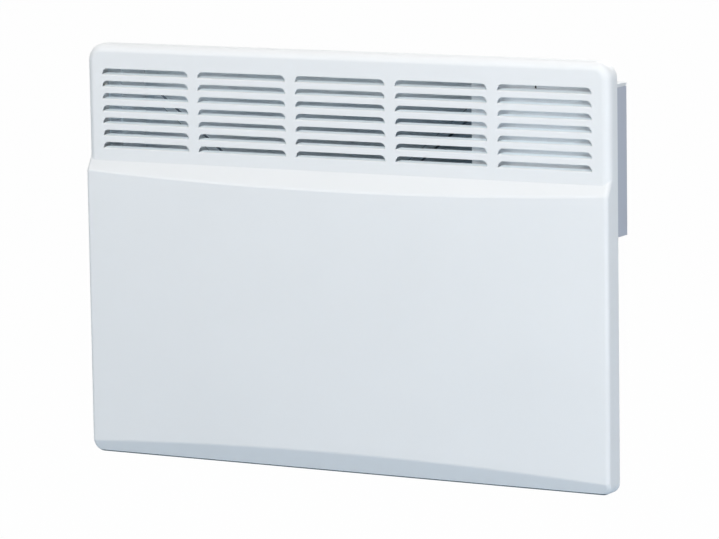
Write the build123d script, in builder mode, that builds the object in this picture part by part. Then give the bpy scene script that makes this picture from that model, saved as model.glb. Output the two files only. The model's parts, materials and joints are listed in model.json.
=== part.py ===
from build123d import *
from math import cos, radians, sin
import os

os.makedirs("parts", exist_ok=True)

# Wall panel convector heater, in millimetres. +X is the right of someone facing the heater,
# +Y points into the wall and +Z is up. The origin is the centre of the wall bracket's four
# fixing holes, on the wall.

# ---------------------------------------------------------------- driving dimensions
cover_width = 616.0
cover_height = 440.0
cover_rim_depth = 19.0        # from the grille face back to the rear edge of the cover
body_depth = 67.0             # from the grille face to the back panel
wall_gap = 19.0               # free space between the back panel and the wall
fixing_height = 265.0         # height of the wall fixings above the heater's bottom edge
sheet = 1.0                   # steel sheet of the cover and the shell
bracket_sheet = 1.5
clearance = 0.3               # between parts that must not bind
running_fit = 0.05            # radial play of a pin in its bore

# Cover
fold_radius = 9.0             # of the sheet round the grille
crown_radius = 4.5            # of the tighter folds round the lower front
top_corner_radius = 18.0
bottom_corner_radius = 11.0
lip_width = 16.0              # inward lip round the cover's open back
bulge_end = 5.7               # how far the lower front stands proud at the two sides
bulge_middle = 10.6           # and at mid-width
bulge_top_height = 315.7      # where the lower front leaves the grille face
bulge_top_slope = 1.75        # height over depth of the sloping step
bulge_bottom_slope = 2.1

# Louvres
louvre_columns = 5
louvre_rows = 7
louvre_pitch_x = 117.7
louvre_pitch_z = 13.05
louvre_length = 106.0
slot_height = 7.5
slot_corner = 6.0
top_slot_height = 414.0       # upper edge of the top row above the heater's bottom edge
flap_bend_radius = 1.5
flap_angle = 70.0
flap_straight = 4.5

# Rear shell: an L-shaped pan whose upper right corner is left free for the control box
shell_left = -277.0
shell_right = 277.0
shell_bottom_height = 13.0
shell_top_height = 415.0
flange_margin = 5.5           # the shell's flange stops this far inside the cover's outline

# Control box, behind the grille at the upper right
box_left = 148.0
box_right = 296.0
box_bottom_height = 258.0
box_top_height = 414.0        # top of its control fascia
box_front_gap = 8.5           # behind the grille face
fascia_rim = 3.2
fascia_seam = 0.8

# Wall bracket
rail_width = 380.0
rail_height = 60.0
fixing_spacing_x = 320.0
fixing_spacing_z = 30.0
fixing_hole_radius = 2.75
hook_x = 110.0
hook_width = 30.0
catch_x = 60.0

# ---------------------------------------------------------------- places worked out from them
bottom_z = -fixing_height
top_z = bottom_z + cover_height
back_y = -wall_gap
face_y = back_y - body_depth
rim_y = face_y + cover_rim_depth
panel_y = back_y - sheet                      # inner face of the back panel
shell_bottom = bottom_z + shell_bottom_height
shell_top = bottom_z + shell_top_height
box_bottom = bottom_z + box_bottom_height
box_top = bottom_z + box_top_height
box_front = face_y + box_front_gap
box_wall_top = box_top - fascia_rim - fascia_seam
half_width = cover_width / 2
middle_z = (bottom_z + top_z) / 2


def save(piece, name):
    """Label a finished sub-part and write it to its own file."""
    piece.part.label = name
    export_step(piece.part, f"parts/{name}.step")


def block(low, high, mode=Mode.ADD):
    """A box between two opposite corners, in the part being built."""
    centre = [(a + b) / 2 for a, b in zip(low, high)]
    with Locations(tuple(centre)):
        Box(high[0] - low[0], high[1] - low[1], high[2] - low[2], mode=mode)


def rod(start, direction, radius, length, mode=Mode.ADD):
    """A cylinder that begins at start and runs along direction."""
    with Locations(Plane(origin=start, z_dir=direction)):
        Cylinder(radius, length, align=(Align.CENTER, Align.CENTER, Align.MIN), mode=mode)


# ---------------------------------------------------------------- front cover
def rim_outline(inset):
    """Front outline of the cover, rounded at its four corners."""
    with BuildSketch(Plane.XZ.offset(-rim_y)) as outline:
        with Locations((0, middle_z)):
            Rectangle(cover_width - 2 * inset, cover_height - 2 * inset)
        fillet(outline.vertices().group_by(Axis.Y)[-1], top_corner_radius - inset)
        fillet(outline.vertices().group_by(Axis.Y)[0], bottom_corner_radius - inset)
    return outline.sketch


def cover_form(inset):
    """The cover as a filled body, with its skin drawn in by inset."""
    front = face_y + inset
    with BuildPart() as tray:
        extrude(rim_outline(inset), amount=rim_y - front)
        fillet(tray.faces().sort_by(Axis.Y)[0].edges(), fold_radius - inset)

    reach = bulge_middle + crown_radius
    run_back = fold_radius / 2      # the step runs on into the rounded fold at the two sides
    side = half_width + 1
    with BuildPart() as bulge:
        extrude(rim_outline(inset), amount=rim_y - front + reach)
        with BuildSketch(Plane.XY.offset(bottom_z)):
            with BuildLine():
                Polyline((-side, front - bulge_end), (-side, rim_y), (side, rim_y),
                         (side, front - bulge_end))
                ThreePointArc((side, front - bulge_end), (0, front - bulge_middle),
                              (-side, front - bulge_end))
            make_face()
        extrude(amount=cover_height, mode=Mode.INTERSECT)
        low_z = bottom_z + inset
        high_z = bottom_z + bulge_top_height
        with BuildSketch(Plane.YZ.offset(-side)):
            with BuildLine():
                Polyline((rim_y, low_z), (front, low_z),
                         (front - reach, low_z + reach * bulge_bottom_slope),
                         (front - reach, high_z - reach * bulge_top_slope),
                         (front + run_back, high_z + run_back * bulge_top_slope),
                         (rim_y, high_z + run_back * bulge_top_slope), close=True)
            make_face()
        extrude(amount=2 * side, mode=Mode.INTERSECT)
        front_edges = bulge.edges().filter_by(
            lambda edge: edge.center().Y < face_y + run_back - 1)
        fillet(front_edges, crown_radius - inset)
    return tray.part + bulge.part


def louvre_flap():
    """One louvre blade, bent inwards about the lower edge of a slot whose foot is at z = 0."""
    angle = radians(flap_angle)
    bend_centre = face_y + flap_bend_radius
    inner_radius = flap_bend_radius - sheet

    def on_bend(radius, turn):
        return (bend_centre - radius * cos(turn), radius * sin(turn))

    bend_end = on_bend(flap_bend_radius, angle)
    tip = (bend_end[0] + flap_straight * sin(angle), bend_end[1] + flap_straight * cos(angle))
    inner_tip = (tip[0] + sheet * cos(angle), tip[1] - sheet * sin(angle))
    with BuildPart() as flap:
        with BuildSketch(Plane.YZ.offset(-louvre_length / 2)):
            with BuildLine():
                ThreePointArc((face_y, 0), on_bend(flap_bend_radius, angle / 2), bend_end)
                Polyline(bend_end, tip, inner_tip, on_bend(inner_radius, angle))
                ThreePointArc(on_bend(inner_radius, angle), on_bend(inner_radius, angle / 2),
                              (face_y + sheet, 0))
                Line((face_y + sheet, 0), (face_y, 0))
            make_face()
        extrude(amount=louvre_length)
        flap_height = tip[1] + 2 * running_fit
        with BuildSketch(Plane.XZ.offset(-face_y - flap_bend_radius - flap_straight - sheet)):
            Rectangle(louvre_length - 2 * slot_corner, 2 * flap_height)
            with GridLocations(louvre_length - 2 * slot_corner, 1, 2, 1):
                Ellipse(slot_corner, flap_height)
        extrude(amount=flap_bend_radius + flap_straight + 2 * sheet, mode=Mode.INTERSECT)
    return flap.part


def slot_cutter():
    """The hole of one louvre: a straight foot at z = 0 and rounded upper corners."""
    with BuildPart() as cutter:
        with BuildSketch(Plane.XZ.offset(-face_y - flap_bend_radius)) as hole:
            Rectangle(louvre_length, slot_height, align=(Align.CENTER, Align.MIN))
            fillet(hole.vertices().group_by(Axis.Y)[-1], slot_corner)
        extrude(amount=flap_bend_radius + 1)
    return cutter.part


slot_foot_z = bottom_z + top_slot_height - slot_height
louvre_places = [
    ((column - (louvre_columns - 1) / 2) * louvre_pitch_x, slot_foot_z - row * louvre_pitch_z)
    for row in range(louvre_rows) for column in range(louvre_columns)
]
lip_front_y = rim_y - sheet
lip_inner_x = half_width - sheet - lip_width
lip_inner_top = top_z - sheet - lip_width
lip_inner_bottom = bottom_z + sheet + lip_width
cover_slot_y = (face_y + fold_radius + rim_y) / 2

# Screws that hold the cover's lip to the shell's flange: (x, z) of each
side_screw_x = half_width - sheet - flange_margin - 5.5
top_screw_z = top_z - 11
bottom_screw_z = shell_bottom - 4
cover_screws = [(-side_screw_x, z) for z in (130, -40, -215)]
cover_screws += [(side_screw_x, z) for z in (-50, -215)]
cover_screws += [(x, top_screw_z) for x in (-210, 0, 210)]
cover_screws += [(x, bottom_screw_z) for x in (-150, 150)]
cover_screw_radius = 1.75

with BuildPart() as front_cover:
    add(cover_form(0))
    with BuildPart(mode=Mode.PRIVATE) as cover_hollow:
        add(cover_form(sheet))
        block((-half_width, lip_front_y, bottom_z), (half_width, rim_y, top_z), mode=Mode.SUBTRACT)
    add(cover_hollow.part, mode=Mode.SUBTRACT)
    with BuildSketch(Plane.XZ.offset(-rim_y)):
        with Locations((0, middle_z)):
            RectangleRounded(2 * lip_inner_x, lip_inner_top - lip_inner_bottom, fold_radius)
    extrude(amount=sheet, mode=Mode.SUBTRACT)
    # The lip is notched where the control box passes through it
    block((lip_inner_x - 1, lip_front_y, box_bottom - 2), (box_right + 1.5, rim_y, box_top + 2),
          mode=Mode.SUBTRACT)
    cutter, flap = slot_cutter(), louvre_flap()
    with Locations(*[(x, 0, z) for x, z in louvre_places]):
        add(cutter, mode=Mode.SUBTRACT)
        add(flap)
    with BuildSketch(Plane.XY.offset(bottom_z)):
        with Locations((0, cover_slot_y)):
            with GridLocations(56, 1, 10, 1):
                SlotOverall(44, 7)
    extrude(amount=sheet, mode=Mode.SUBTRACT)
    for x, z in cover_screws:
        rod((x, lip_front_y, z), (0, 1, 0), cover_screw_radius, sheet, mode=Mode.SUBTRACT)
save(front_cover, "front_cover")


# ---------------------------------------------------------------- rear shell
notch_x = box_left
notch_z = box_bottom
wall_corner = 3.0


def shell_outline(plane, inset):
    """The shell's L-shaped outline, drawn in by inset."""
    right, left = shell_right - inset, shell_left + inset
    low, high = shell_bottom + inset, shell_top - inset
    inner_x, inner_z = notch_x - inset, notch_z - inset
    with BuildSketch(plane) as outline:
        with BuildLine():
            Polyline((left, low), (right, low), (right, inner_z), (inner_x, inner_z),
                     (inner_x, high), (left, high), close=True)
        make_face()
        outer_corners = outline.vertices().filter_by(
            lambda corner: abs(corner.X - inner_x) + abs(corner.Y - inner_z) > 1)
        fillet(outer_corners, wall_corner - inset)
    return outline.sketch


def back_swage(start, end, inset):
    """A straight stiffening swage pressed forwards into the back panel."""
    length = ((end[0] - start[0]) ** 2 + (end[1] - start[1]) ** 2) ** 0.5
    middle = ((start[0] + end[0]) / 2, (start[1] + end[1]) / 2)
    base = Plane(origin=(middle[0], panel_y + inset, middle[1]),
                 x_dir=(end[0] - start[0], 0, end[1] - start[1]), z_dir=(0, -1, 0))
    with BuildPart() as swage:
        with BuildSketch(base):
            SlotOverall(length - 2 * inset, swage_width - 2 * inset)
        extrude(amount=swage_height, taper=swage_taper)
    return swage.part


swage_width = 12.0
swage_height = 3.0
swage_taper = 35.0
swages = [((-264, 117), (-140, 20)), ((125, 117), (6, 20)),
          ((-262, -115), (-140, -35)), ((128, -115), (6, -35))]
hook_top = 30.0
hook_slot_height = 12.0
hook_slot_width = hook_width + 4
tab_z = -13.0
tab_width = 14.0
tab_reach = 8.0
gland_x = 230.0
gland_y = (rim_y + back_y) / 2
gland_thread_radius = 6.0
inlet_x = -67.0
grommet_x = 240.0
grommet_y = -40.0
grommet_hole_radius = 7.0
flange_y = rim_y + sheet
partition_x = 130.0
element_y = -50.0
element_z = -200.0
hanger_left_x = -244.0
hanger_right_x = 108.0
foot_width = 14.0
screw_radius = 1.6

# Screws through the back panel: (x, z) of each
hanger_screws = [(x, element_z + dz) for x in (hanger_left_x + 8, hanger_right_x - 8)
                 for dz in (-14, 14)]
partition_screws = [(partition_x + 7, z) for z in (-230, -60, -20)]
shield_screws = [(x, -130) for x in (-200, 70)]
block_screws = [(x, -196) for x in (178, 232)]
spacer_places = [(x, -228) for x in (-200, 200)]
spacer_stem_radius = 3.0
foot_screws = hanger_screws + partition_screws + shield_screws
# Screws between the shell and the control box: (x, y) through its floor, (y, z) through its side
box_floor_screws = [(165, -37), (268, -37)]
box_side_screws = [(-37, 30), (-37, 115)]

with BuildPart() as rear_shell:
    extrude(shell_outline(Plane.XZ.offset(-back_y), 0), amount=back_y - flange_y)
    extrude(shell_outline(Plane.XZ.offset(-panel_y), sheet), amount=panel_y - flange_y,
            mode=Mode.SUBTRACT)
    with BuildSketch(Plane.XZ.offset(-flange_y)):
        with Locations((0, middle_z)):
            RectangleRounded(cover_width - 2 * flange_margin, cover_height - 2 * flange_margin,
                             top_corner_radius - flange_margin)
        add(shell_outline(Plane.XZ.offset(-flange_y), sheet), mode=Mode.SUBTRACT)
        with Locations(((notch_x + half_width) / 2, (notch_z + box_top + 3) / 2)):
            Rectangle(half_width - notch_x, box_top + 3 - notch_z, mode=Mode.SUBTRACT)
    extrude(amount=sheet)
    for start, end in swages:
        add(back_swage(start, end, 0))
        add(back_swage(start, end, sheet), mode=Mode.SUBTRACT)
    for x in (-hook_x, hook_x):
        block((x - hook_slot_width / 2, panel_y, hook_top - hook_slot_height),
              (x + hook_slot_width / 2, back_y, hook_top), mode=Mode.SUBTRACT)
    for x in (-catch_x, catch_x):
        block((x - tab_width / 2, panel_y, tab_z), (x + tab_width / 2, back_y, tab_z + tab_reach),
              mode=Mode.SUBTRACT)
        block((x - tab_width / 2, back_y, tab_z - sheet), (x + tab_width / 2, back_y + tab_reach, tab_z))
    # Air slots in the bottom and top walls
    for wall_z in (shell_bottom, shell_top - sheet):
        with BuildSketch(Plane.XY.offset(wall_z)):
            with Locations((inlet_x, (flange_y + panel_y) / 2)):
                with GridLocations(46, 13, 8, 2):
                    SlotOverall(38, 7)
        extrude(amount=sheet, mode=Mode.SUBTRACT)
    rod((gland_x, gland_y, shell_bottom), (0, 0, 1), gland_thread_radius, sheet, mode=Mode.SUBTRACT)
    rod((grommet_x, grommet_y, notch_z - sheet), (0, 0, 1), grommet_hole_radius, sheet,
        mode=Mode.SUBTRACT)
    for x, z in foot_screws + block_screws:
        rod((x, panel_y, z), (0, 1, 0), screw_radius, sheet, mode=Mode.SUBTRACT)
    for x, y in box_floor_screws:
        rod((x, y, notch_z - sheet), (0, 0, 1), screw_radius, sheet, mode=Mode.SUBTRACT)
    for y, z in box_side_screws:
        rod((notch_x - sheet, y, z), (1, 0, 0), screw_radius, sheet, mode=Mode.SUBTRACT)
    for x, z in spacer_places:
        rod((x, panel_y, z), (0, 1, 0), spacer_stem_radius, sheet, mode=Mode.SUBTRACT)
    for x, z in cover_screws:
        rod((x, rim_y, z), (0, 1, 0), cover_screw_radius, sheet, mode=Mode.SUBTRACT)
save(rear_shell, "rear_shell")


# ---------------------------------------------------------------- air duct inside
partition_front = face_y + flap_bend_radius + flap_straight + 2
lead_hole_y, lead_hole_z = -24.0, -244.0
cutout_y = element_y
cutout_z = -110.0
cutout_radius = 8.0

with BuildPart() as duct_partition:
    block((partition_x, partition_front, shell_bottom + sheet),
          (partition_x + sheet, panel_y, notch_z))
    # Its top is bent over to meet the shell's wall beside the control box
    block((partition_x, partition_front, notch_z - sheet), (notch_x - sheet, panel_y, notch_z))
    # Its lower front corner clears the cover's lip
    block((partition_x, partition_front, shell_bottom),
          (partition_x + sheet, flange_y, lip_inner_bottom + clearance), mode=Mode.SUBTRACT)
    block((partition_x + sheet, panel_y - sheet, shell_bottom + sheet + 2),
          (notch_x - sheet, panel_y, notch_z - 3))
    rod((partition_x, element_y, element_z), (1, 0, 0), grommet_hole_radius, sheet,
        mode=Mode.SUBTRACT)
    rod((partition_x, lead_hole_y, lead_hole_z), (1, 0, 0), 2.5, sheet, mode=Mode.SUBTRACT)
    rod((partition_x, cutout_y, cutout_z), (1, 0, 0), cutout_radius, sheet, mode=Mode.SUBTRACT)
    for x, z in partition_screws:
        rod((x, panel_y - sheet, z), (0, 1, 0), screw_radius, sheet, mode=Mode.SUBTRACT)
save(duct_partition, "duct_partition")

hanger_depth = 79.0
hanger_half_height = 24.0
bush_radius = 9.0
front_shield_y = -hanger_depth


def element_hanger(web_x, foot_side):
    """A folded plate that carries one end of the heating element from the back panel."""
    web = sorted((web_x, web_x + foot_side * sheet))
    foot = sorted((web_x + foot_side * sheet, web_x + foot_side * foot_width))
    low = element_z - hanger_half_height
    high = element_z + hanger_half_height
    with BuildPart() as hanger:
        block((web[0], -hanger_depth, low), (web[1], panel_y, high))
        block((foot[0], panel_y - sheet, low), (foot[1], panel_y, high))
        block((foot[0], -hanger_depth, low), (foot[1], -hanger_depth + sheet, high))
        rod((web[0], element_y, element_z), (1, 0, 0), bush_radius, sheet, mode=Mode.SUBTRACT)
        for dz in (-14, 14):
            screw_x = web_x + foot_side * 8
            rod((screw_x, panel_y - sheet, element_z + dz), (0, 1, 0), screw_radius, sheet,
                mode=Mode.SUBTRACT)
            rod((screw_x, -hanger_depth, element_z + dz), (0, 1, 0), screw_radius, sheet,
                mode=Mode.SUBTRACT)
    return hanger


save(element_hanger(hanger_left_x, 1), "element_hanger_left")
save(element_hanger(hanger_right_x, -1), "element_hanger_right")

shield_left, shield_right = -262.0, 122.0
shield_low, shield_high = -240.0, -30.0
shield_hem = 8.0

with BuildPart() as front_heat_shield:
    block((shield_left, front_shield_y - sheet, shield_low), (shield_right, front_shield_y, shield_high))
    for hem_z in (shield_low, shield_high - sheet):
        block((shield_left, front_shield_y, hem_z),
              (shield_right, front_shield_y + shield_hem, hem_z + sheet))
    for x, z in hanger_screws:
        rod((x, front_shield_y - sheet, z), (0, 1, 0), screw_radius, sheet, mode=Mode.SUBTRACT)
save(front_heat_shield, "front_heat_shield")

rear_shield_y = panel_y - 6
rear_shield_left = hanger_left_x + foot_width + 3
rear_shield_right = hanger_right_x - foot_width - 3
rear_shield_high = -136.0

with BuildPart() as rear_heat_shield:
    block((rear_shield_left, rear_shield_y, shield_low),
          (rear_shield_right, rear_shield_y + sheet, rear_shield_high))
    block((rear_shield_left, rear_shield_y + sheet, rear_shield_high - sheet),
          (rear_shield_right, panel_y, rear_shield_high))
    block((rear_shield_left, panel_y - sheet, rear_shield_high),
          (rear_shield_right, panel_y, rear_shield_high + foot_width))
    for x, z in shield_screws:
        rod((x, panel_y - sheet, z), (0, 1, 0), screw_radius, sheet, mode=Mode.SUBTRACT)
save(rear_heat_shield, "rear_heat_shield")


# ---------------------------------------------------------------- heating element
tube_radius = 4.25
tube_left = hanger_left_x - 8
tube_right = hanger_right_x + 5
diffuser_left = hanger_left_x + 16
diffuser_right = hanger_right_x - 16
wing_length = 24.0
wing_thickness = 2.0
diffuser_cuts = 28

with BuildPart() as element_tube:
    rod((tube_left, element_y, element_z), (1, 0, 0), tube_radius, tube_right - tube_left)
save(element_tube, "element_tube")

with BuildPart() as element_diffuser:
    with BuildSketch(Plane(origin=(diffuser_left, element_y, element_z), z_dir=(1, 0, 0))):
        Circle(tube_radius + 3)
        for turn in (35, 145):
            with Locations(Rotation(0, 0, turn)):
                Rectangle(2 * wing_length, wing_thickness)
        Circle(tube_radius, mode=Mode.SUBTRACT)
    diffuser_length = diffuser_right - diffuser_left
    extrude(amount=diffuser_length)
    cut_pitch = diffuser_length / (diffuser_cuts + 1)
    for wing_z in (element_z - wing_length, element_z + wing_length):
        inner_z = element_z + (tube_radius + 5 if wing_z > element_z else -tube_radius - 5)
        for step in range(1, diffuser_cuts + 1):
            cut_x = diffuser_left + step * cut_pitch
            block((cut_x - 1, element_y - wing_length, min(inner_z, wing_z)),
                  (cut_x + 1, element_y + wing_length, max(inner_z, wing_z)), mode=Mode.SUBTRACT)
save(element_diffuser, "element_diffuser")


def ring_bush(start, direction, bore, seat_radius, collar_radius):
    """An insulating bush with a collar on each side of the sheet that it sits in."""
    with BuildPart() as bush:
        rod(start, direction, seat_radius, sheet)
        for shift in (-2.0, sheet):
            collar_start = tuple(s + d * shift for s, d in zip(start, direction))
            rod(collar_start, direction, collar_radius, 2.0)
        bore_start = tuple(s - d * 3 for s, d in zip(start, direction))
        rod(bore_start, direction, bore, sheet + 6, mode=Mode.SUBTRACT)
    return bush


save(ring_bush((hanger_left_x, element_y, element_z), (1, 0, 0), tube_radius, bush_radius,
               bush_radius + 2.5), "element_bush_left")
save(ring_bush((hanger_right_x - sheet, element_y, element_z), (1, 0, 0), tube_radius, bush_radius,
               bush_radius + 2.5), "element_bush_right")


cap_length = 3.0
stud_length = 4.0
stud_reach = cap_length + stud_length


def element_terminal(end_x, outward):
    """Ceramic cap and stud on one end of the tube."""
    with BuildPart() as terminal:
        rod((end_x, element_y, element_z), (outward, 0, 0), 3.2, cap_length)
        rod((end_x + outward * cap_length, element_y, element_z), (outward, 0, 0), 1.5, stud_length)
    return terminal


save(element_terminal(tube_left, -1), "element_terminal_left")
save(element_terminal(tube_right, 1), "element_terminal_right")


# ---------------------------------------------------------------- overheat cut-out and grommets
cutout_height = 9.0
cutout_tab = 8.0
lead_bore = 5.0

with BuildPart() as overheat_cutout:
    rod((partition_x - 2, cutout_y, cutout_z), (1, 0, 0), cutout_radius, cutout_height + 2)
    block((partition_x + sheet, cutout_y - 4, cutout_z - 15),
          (partition_x + 2 * sheet, cutout_y + 4, cutout_z + 15))
    for dz in (-4, 4):
        block((partition_x + cutout_height, cutout_y - 3, cutout_z + dz - 0.4),
              (partition_x + cutout_height + cutout_tab, cutout_y + 3, cutout_z + dz + 0.4))
save(overheat_cutout, "overheat_cutout")

save(ring_bush((partition_x, element_y, element_z), (1, 0, 0), lead_bore, grommet_hole_radius,
               grommet_hole_radius + 2), "partition_grommet")


# ---------------------------------------------------------------- control box and its fascia
box_corner = 2.0
box_middle_x = (box_left + box_right) / 2
box_middle_y = (box_front + back_y) / 2
box_width = box_right - box_left
box_depth = back_y - box_front

with BuildPart() as control_box:
    with BuildSketch(Plane.XY.offset(box_bottom)):
        with Locations((box_middle_x, box_middle_y)):
            RectangleRounded(box_width, box_depth, box_corner)
    extrude(amount=box_wall_top - box_bottom)
    offset(amount=-sheet, openings=control_box.faces().sort_by(Axis.Z)[-1])
    rod((grommet_x, grommet_y, box_bottom), (0, 0, 1), grommet_hole_radius, sheet, mode=Mode.SUBTRACT)
    for x, y in box_floor_screws:
        rod((x, y, box_bottom), (0, 0, 1), screw_radius, sheet, mode=Mode.SUBTRACT)
    for y, z in box_side_screws:
        rod((box_left, y, z), (1, 0, 0), screw_radius, sheet, mode=Mode.SUBTRACT)
save(control_box, "control_box")

with BuildPart() as box_grommet:
    rod((grommet_x, grommet_y, box_bottom - sheet), (0, 0, 1), grommet_hole_radius, 2 * sheet)
    for collar_z in (box_bottom - sheet - 2, box_bottom + sheet):
        rod((grommet_x, grommet_y, collar_z), (0, 0, 1), grommet_hole_radius + 2, 2)
    rod((grommet_x, grommet_y, box_bottom - 4), (0, 0, 1), lead_bore, 8, mode=Mode.SUBTRACT)
save(box_grommet, "box_grommet")

fascia_thickness = 2.0
fascia_top = box_top
fascia_low = box_top - fascia_rim
plate_low = fascia_top - fascia_thickness
knob_x = 255.0
control_y = (rim_y + back_y) / 2
switch_places = [("power_switch", 172.0), ("heat_switch", 197.0)]
switch_cut_x, switch_cut_y = 15.0, 23.0
lamp_x = 219.0
lamp_radius = 3.0
bushing_radius = 5.0
vent_x = 285.0

with BuildPart() as control_fascia:
    with BuildSketch(Plane.XY.offset(fascia_low)):
        with Locations((box_middle_x, box_middle_y)):
            RectangleRounded(box_width, box_depth, box_corner)
    extrude(amount=fascia_rim)
    fillet(control_fascia.faces().sort_by(Axis.Z)[-1].edges(), 0.8)
    with BuildSketch(Plane.XY.offset(fascia_low)):
        with Locations((box_middle_x, box_middle_y)):
            RectangleRounded(box_width - 5, box_depth - 5, box_corner)
    extrude(amount=plate_low - fascia_low, mode=Mode.SUBTRACT)
    # The skirt that plugs into the box
    with BuildSketch(Plane.XY.offset(box_wall_top - 7)):
        with Locations((box_middle_x, box_middle_y)):
            RectangleRounded(box_width - 2 * sheet - clearance, box_depth - 2 * sheet - clearance, 1)
            RectangleRounded(box_width - 6, box_depth - 6, 1, mode=Mode.SUBTRACT)
    extrude(amount=fascia_low + 0.2 - box_wall_top + 7)
    for _, x in switch_places:
        block((x - switch_cut_x / 2, control_y - switch_cut_y / 2, plate_low),
              (x + switch_cut_x / 2, control_y + switch_cut_y / 2, fascia_top), mode=Mode.SUBTRACT)
    rod((lamp_x, control_y, plate_low), (0, 0, 1), lamp_radius, fascia_thickness, mode=Mode.SUBTRACT)
    rod((knob_x, control_y, plate_low), (0, 0, 1), bushing_radius, fascia_thickness, mode=Mode.SUBTRACT)
    with BuildSketch(Plane.XY.offset(plate_low)):
        with Locations((vent_x, control_y)):
            with GridLocations(1, 5, 1, 7):
                SlotOverall(12, 2)
    extrude(amount=fascia_thickness, mode=Mode.SUBTRACT)
    block((221, box_front, fascia_low), (223, box_front + 2, fascia_top - 0.8), mode=Mode.SUBTRACT)
save(control_fascia, "control_fascia")


# ---------------------------------------------------------------- thermostat
shaft_radius = 3.0
thermostat_low = plate_low - 20.0
thermostat_tab = 8.0
thermostat_tab_x = 10.0
bushing_top = fascia_top + 3.5
nut_thickness = 2.5
knob_low = fascia_top + 1.0
knob_high = fascia_top + 14.0
knob_skirt_radius = 16.0
knob_grip_radius = 12.5
knob_flutes = 20

with BuildPart() as thermostat_body:
    block((knob_x - 18, control_y - 14, thermostat_low), (knob_x + 18, control_y + 14, plate_low))
    fillet(thermostat_body.edges().filter_by(Axis.Z), 3)
    rod((knob_x, control_y, plate_low), (0, 0, 1), bushing_radius, bushing_top - plate_low)
    for dx in (-thermostat_tab_x, thermostat_tab_x):
        block((knob_x + dx - 3, control_y - 0.4, thermostat_low - thermostat_tab),
              (knob_x + dx + 3, control_y + 0.4, thermostat_low))
    rod((knob_x, control_y, thermostat_low + 6), (0, 0, 1), shaft_radius + running_fit,
        bushing_top - thermostat_low, mode=Mode.SUBTRACT)
save(thermostat_body, "thermostat_body")

with BuildPart() as thermostat_nut:
    with BuildSketch(Plane.XY.offset(fascia_top)):
        with Locations((knob_x, control_y)):
            RegularPolygon(7, 6, major_radius=False)
            Circle(bushing_radius, mode=Mode.SUBTRACT)
    extrude(amount=nut_thickness)
save(thermostat_nut, "thermostat_nut")

with BuildPart() as thermostat_shaft:
    rod((knob_x, control_y, thermostat_low + 6.5), (0, 0, 1), shaft_radius,
        knob_high - 3 - thermostat_low - 6.5)
    block((knob_x - shaft_radius, control_y - shaft_radius, bushing_top + 1),
          (knob_x + shaft_radius, control_y - 1.5, knob_high), mode=Mode.SUBTRACT)
save(thermostat_shaft, "thermostat_shaft")

with BuildPart() as thermostat_knob:
    with BuildSketch(Plane.XZ.offset(-control_y)):
        with BuildLine():
            Polyline((knob_x, knob_low), (knob_x + knob_skirt_radius, knob_low),
                     (knob_x + knob_skirt_radius, knob_low + 2.2),
                     (knob_x + knob_grip_radius, knob_low + 3.2),
                     (knob_x + knob_grip_radius - 1, knob_high), (knob_x, knob_high), close=True)
        make_face()
    revolve(axis=Axis((knob_x, control_y, 0), (0, 0, 1)))
    fillet(thermostat_knob.faces().sort_by(Axis.Z)[-1].edges(), 0.8)
    with BuildSketch(Plane.XY.offset(knob_low + 3.2)):
        with Locations((knob_x, control_y)):
            with PolarLocations(knob_grip_radius + 0.5, knob_flutes):
                Circle(1.1)
    extrude(amount=knob_high - knob_low, mode=Mode.SUBTRACT)
    rod((knob_x, control_y, knob_low), (0, 0, 1), 9.0, 3.5, mode=Mode.SUBTRACT)
    with BuildSketch(Plane.XY.offset(knob_low + 3.5)):
        with Locations((knob_x, control_y)):
            Circle(shaft_radius)
        with Locations((knob_x, control_y - shaft_radius + (shaft_radius - 1.5) / 2)):
            Rectangle(2 * shaft_radius, shaft_radius - 1.5, mode=Mode.SUBTRACT)
    extrude(amount=knob_high - 3 - knob_low - 3.5, mode=Mode.SUBTRACT)
    block((knob_x - 0.8, control_y - knob_skirt_radius + 0.5, knob_low + 2.2),
          (knob_x + 0.8, control_y - 5, knob_high + 0.6))
save(thermostat_knob, "thermostat_knob")


# ---------------------------------------------------------------- rocker switches and lamp
rocker_tilt = radians(8)
rocker_half_length = 8.6
rocker_half_width = 5.4
well_half_length = 9.4
well_half_width = 5.7
pivot_z = fascia_top + 0.5
pivot_radius = 1.0
switch_depth = 14.0
switch_tab = 7.0

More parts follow.
